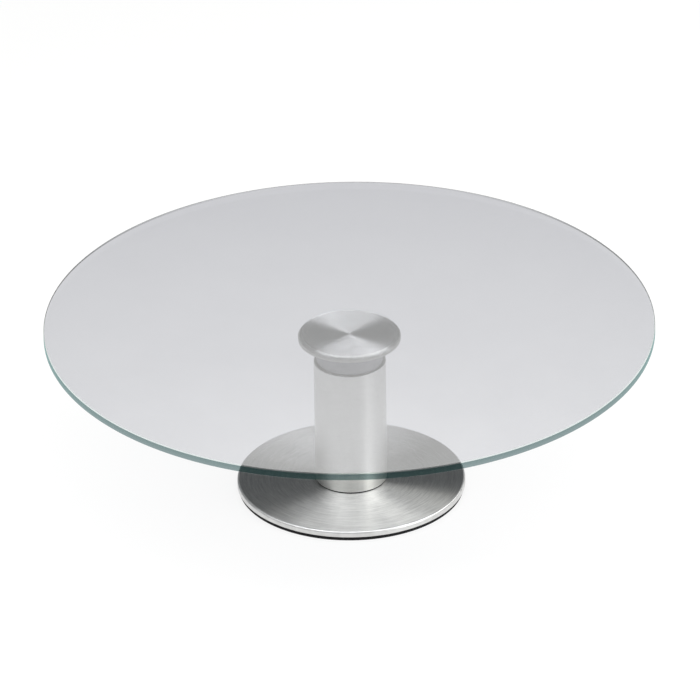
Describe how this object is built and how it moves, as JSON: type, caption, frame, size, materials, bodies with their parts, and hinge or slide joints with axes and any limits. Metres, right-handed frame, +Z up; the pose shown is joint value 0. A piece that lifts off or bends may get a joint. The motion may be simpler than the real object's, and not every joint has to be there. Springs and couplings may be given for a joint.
{
  "type": "rotating cake stand",
  "caption": "Rotating cake stand: a clear round glass disc on a brushed steel cap and neck that turn on a ball bearing above a plain column and a flat round base.",
  "frame": {"origin": "centre of the surface that the foot pad rests on, on the column's axis", "axes": "+Z up along the column and the turning axis; +X and +Y level, equal by symmetry, with the first base screw towards +Y"},
  "size_m": [0.3, 0.3, 0.09],
  "materials": {
    "clear_glass": "clear tempered sheet with a flat polished edge that looks sea green",
    "clear_adhesive": "clear cured bonding film",
    "brushed_steel": "turned and brushed stainless steel with concentric lines",
    "satin_neck": "dark satin grey anodised",
    "bearing_steel": "ground and polished bearing steel",
    "cage_brass": "plain pressed brass",
    "bush_plastic": "natural acetal",
    "turned_steel": "plain turned steel",
    "zinc_plate": "bright zinc plating",
    "black_rubber": "matt black non-slip rubber"
  },
  "bodies": {
    "pedestal": {"foot_pad": "black_rubber", "base_plate": "brushed_steel", "base_screw_1": "zinc_plate", "base_screw_2": "zinc_plate", "base_screw_3": "zinc_plate", "foot_gasket": "black_rubber", "foot_plug": "turned_steel", "column_tube": "brushed_steel", "top_plug": "turned_steel", "spindle": "turned_steel", "spindle_washer": "zinc_plate", "spindle_nut": "zinc_plate", "lower_race": "bearing_steel", "retaining_washer": "zinc_plate", "circlip": "zinc_plate"},
    "turntable": {"glass_top": "clear_glass", "bond_film": "clear_adhesive", "cap_disc": "brushed_steel", "swivel_hub": "satin_neck", "upper_race": "bearing_steel", "pivot_bush": "bush_plastic"},
    "ball_ring": {"ball_cage": "cage_brass", "bearing_ball_1": "bearing_steel", "bearing_ball_2": "bearing_steel", "bearing_ball_3": "bearing_steel", "bearing_ball_4": "bearing_steel", "bearing_ball_5": "bearing_steel", "bearing_ball_6": "bearing_steel", "bearing_ball_7": "bearing_steel", "bearing_ball_8": "bearing_steel", "bearing_ball_9": "bearing_steel"}
  },
  "joints": [
    {"name": "turntable_spin", "type": "hinge", "parent": "pedestal", "child": "turntable", "pos_m": [0, 0, 0.0763], "axis": [0, 0, 1], "continuous": true},
    {"name": "ball_ring_spin", "type": "hinge", "parent": "pedestal", "child": "ball_ring", "pos_m": [0, 0, 0.0745], "axis": [0, 0, 1], "continuous": true}
  ],
  "couplings": [
    {"joint": "ball_ring_spin", "follows": "turntable_spin", "ratio": 0.5}
  ]
}
